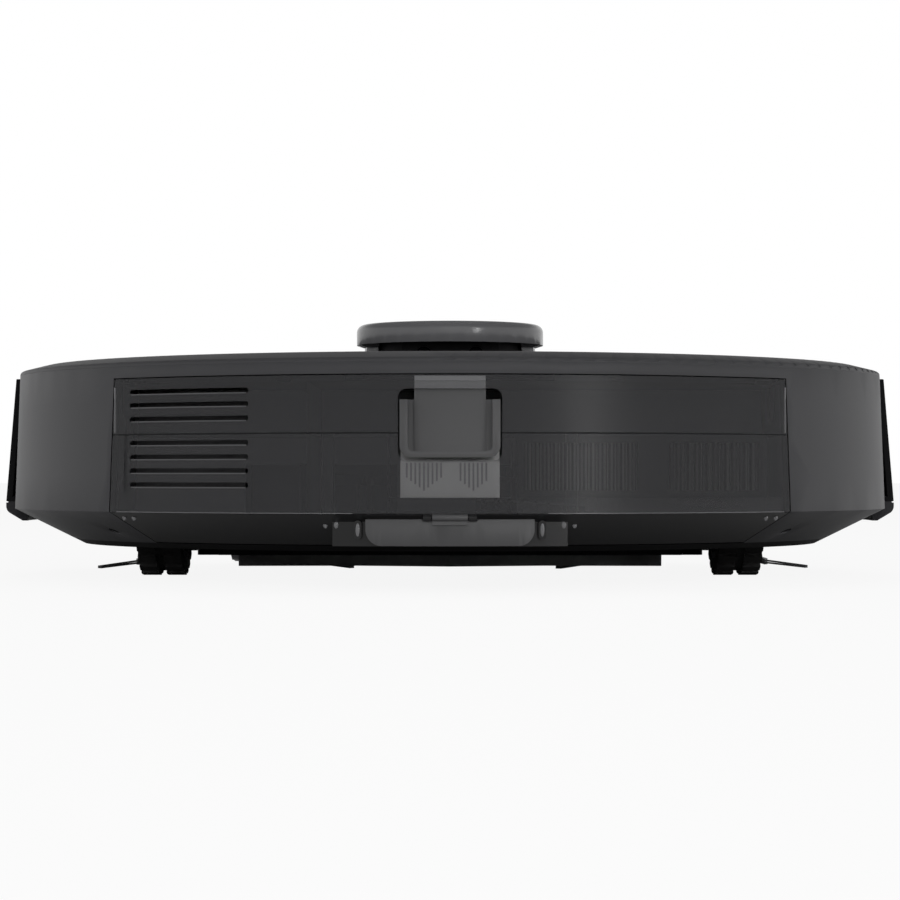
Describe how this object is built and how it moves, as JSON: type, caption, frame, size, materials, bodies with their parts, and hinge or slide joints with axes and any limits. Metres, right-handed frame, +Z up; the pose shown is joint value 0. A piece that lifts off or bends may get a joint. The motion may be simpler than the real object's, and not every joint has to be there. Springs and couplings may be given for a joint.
{
  "type": "robot vacuum",
  "caption": "Round floor-cleaning robot with a laser tower, front bumper, rear dust bin with evacuation door, sprung drive wheels, roller brush and side brushes.",
  "frame": {"origin": "on the floor under the middle of the round body", "axes": "+Z up; -Y towards the rear with the dust bin; +X to the right seen from the rear"},
  "size_m": [0.352, 0.348, 0.0985],
  "materials": {
    "shell_grey": "fine texture",
    "chassis_black": "matt",
    "bumper_black": "satin",
    "lens_black": "gloss",
    "smoke_clear": "gloss, smoky clear",
    "latch_grey": "satin",
    "button_black": "satin",
    "tyre_rubber": "matt",
    "soft_rubber": "matt",
    "bristle_nylon": "satin",
    "steel": "brushed",
    "motor_steel": "plated",
    "contact_metal": "plated",
    "board_green": "solder mask",
    "cell_case": "wrapped",
    "filter_media": "pleated"
  },
  "bodies": {
    "base": {"base_chassis": "chassis_black", "side_shell": "shell_grey", "top_cover": "shell_grey", "brush_housing": "chassis_black", "brush_gearmotor": "motor_steel", "side_motor_right": "motor_steel", "side_motor_left": "motor_steel", "lidar_guard": "shell_grey", "lidar_base": "chassis_black", "lidar_motor": "motor_steel", "lidar_belt": "soft_rubber", "main_board": "board_green", "battery_pack": "cell_case", "battery_cover": "chassis_black", "blower_housing": "chassis_black", "blower_motor": "motor_steel", "suction_duct": "chassis_black", "charge_contacts": "contact_metal", "sensor_lenses": "lens_black", "chassis_screws": "steel"},
    "bumper": {"bumper_shell": "bumper_black", "bumper_window": "lens_black", "bumper_lip": "shell_grey"},
    "bump_lever_right": {"bump_lever_right": "chassis_black"},
    "bump_lever_left": {"bump_lever_left": "chassis_black"},
    "bin": {"bin_tub": "smoke_clear", "bin_lid": "smoke_clear", "bin_gasket": "soft_rubber", "latch_carrier": "latch_grey", "evac_hinge_pin": "steel", "filter_frame": "chassis_black", "hepa_filter": "filter_media"},
    "bin_latch": {"bin_latch": "latch_grey"},
    "evac_door": {"evac_door": "shell_grey"},
    "arm_right": {"drive_arm_right": "chassis_black", "drive_motor_right": "motor_steel", "suspension_spring_right": "steel"},
    "arm_left": {"drive_arm_left": "chassis_black", "drive_motor_left": "motor_steel", "suspension_spring_left": "steel"},
    "wheel_right": {"tyre_right": "tyre_rubber", "wheel_hub_right": "chassis_black"},
    "wheel_left": {"tyre_left": "tyre_rubber", "wheel_hub_left": "chassis_black"},
    "main_brush": {"brush_core": "chassis_black", "brush_fins": "soft_rubber", "brush_bristles": "bristle_nylon"},
    "brush_guard": {"brush_guard": "chassis_black"},
    "caster_fork": {"caster_fork": "chassis_black", "caster_axle": "steel"},
    "caster_wheel": {"caster_wheel": "chassis_black"},
    "side_brush_right": {"side_brush_right": "soft_rubber", "side_bristles_right": "bristle_nylon"},
    "side_brush_left": {"side_brush_left": "soft_rubber", "side_bristles_left": "bristle_nylon"},
    "lidar_rotor": {"lidar_rotor": "lens_black"},
    "lidar_pulley": {"lidar_pulley": "steel"},
    "clean_button": {"clean_button": "button_black"},
    "dock_button": {"dock_button": "button_black"},
    "fan_impeller": {"fan_impeller": "button_black"}
  },
  "joints": [
    {"name": "bumper_slide", "type": "slide", "parent": "base", "child": "bumper", "axis": [0, -1, 0], "range_m": [0, 0.006], "stiffness_N_per_m": 300, "springref_m": -0.004},
    {"name": "bump_lever_right_pivot", "type": "hinge", "parent": "base", "child": "bump_lever_right", "pos_m": [0.038, 0.1351, 0.042], "axis": [0, 0, -1], "range_deg": [0, 16]},
    {"name": "bump_lever_left_pivot", "type": "hinge", "parent": "base", "child": "bump_lever_left", "pos_m": [-0.038, 0.1351, 0.042], "axis": [0, 0, 1], "range_deg": [0, 16]},
    {"name": "lidar_spin", "type": "hinge", "parent": "base", "child": "lidar_rotor", "pos_m": [0, -0.025, 0.07], "axis": [0, 0, 1], "continuous": true},
    {"name": "lidar_pulley_spin", "type": "hinge", "parent": "base", "child": "lidar_pulley", "pos_m": [0.047, -0.025, 0.07], "axis": [0, 0, 1], "continuous": true},
    {"name": "clean_press", "type": "slide", "parent": "base", "child": "clean_button", "axis": [0, 0, -1], "range_m": [0, 0.001], "stiffness_N_per_m": 800, "springref_m": -0.0005},
    {"name": "dock_press", "type": "slide", "parent": "base", "child": "dock_button", "axis": [0, 0, -1], "range_m": [0, 0.001], "stiffness_N_per_m": 800, "springref_m": -0.0005},
    {"name": "bin_slide", "type": "slide", "parent": "base", "child": "bin", "axis": [0, -1, 0], "range_m": [0, 0.16]},
    {"name": "latch_press", "type": "slide", "parent": "bin", "child": "bin_latch", "axis": [0, 1, 0], "range_m": [0, 0.003], "stiffness_N_per_m": 500, "springref_m": -0.002},
    {"name": "evac_door_hinge", "type": "hinge", "parent": "bin", "child": "evac_door", "pos_m": [0, -0.1705, 0.0257], "axis": [-1, 0, 0], "range_deg": [0, 75], "stiffness_Nm_per_rad": 0.01, "springref_deg": -28.65},
    {"name": "suspension_right", "type": "hinge", "parent": "base", "child": "arm_right", "pos_m": [0.094, -0.042, 0.04], "axis": [-1, 0, 0], "range_deg": [0, 30], "stiffness_Nm_per_rad": 0.14, "springref_deg": 60.16},
    {"name": "wheel_right_spin", "type": "hinge", "parent": "arm_right", "child": "wheel_right", "pos_m": [0.1141, 0, 0.035], "axis": [1, 0, 0], "continuous": true},
    {"name": "suspension_left", "type": "hinge", "parent": "base", "child": "arm_left", "pos_m": [-0.094, -0.042, 0.04], "axis": [-1, 0, 0], "range_deg": [0, 30], "stiffness_Nm_per_rad": 0.14, "springref_deg": 60.16},
    {"name": "wheel_left_spin", "type": "hinge", "parent": "arm_left", "child": "wheel_left", "pos_m": [-0.1141, 0, 0.035], "axis": [1, 0, 0], "continuous": true},
    {"name": "main_brush_spin", "type": "hinge", "parent": "base", "child": "main_brush", "pos_m": [0, 0.0378, 0.025], "axis": [1, 0, 0], "continuous": true},
    {"name": "brush_guard_release", "type": "slide", "parent": "base", "child": "brush_guard", "axis": [0, 0, -1], "range_m": [0, 0.02]},
    {"name": "caster_swivel", "type": "hinge", "parent": "base", "child": "caster_fork", "pos_m": [0, 0.13, 0.03], "axis": [0, 0, 1], "continuous": true},
    {"name": "caster_spin", "type": "hinge", "parent": "caster_fork", "child": "caster_wheel", "pos_m": [0, 0.126, 0.012], "axis": [1, 0, 0], "continuous": true},
    {"name": "side_brush_right_spin", "type": "hinge", "parent": "base", "child": "side_brush_right", "pos_m": [0.09599, 0.09803, 0.01], "axis": [0, 0, 1], "continuous": true},
    {"name": "side_brush_left_spin", "type": "hinge", "parent": "base", "child": "side_brush_left", "pos_m": [-0.09599, 0.09803, 0.01], "axis": [0, 0, 1], "continuous": true},
    {"name": "fan_spin", "type": "hinge", "parent": "base", "child": "fan_impeller", "pos_m": [-0.032, -0.029, 0.03], "axis": [0, 0, 1], "continuous": true}
  ],
  "couplings": [
    {"joint": "bump_lever_right_pivot", "follows": "bumper_slide", "rad_per_m": 45.455},
    {"joint": "bump_lever_left_pivot", "follows": "bumper_slide", "rad_per_m": 45.455},
    {"joint": "lidar_pulley_spin", "follows": "lidar_spin", "ratio": 6.814}
  ]
}
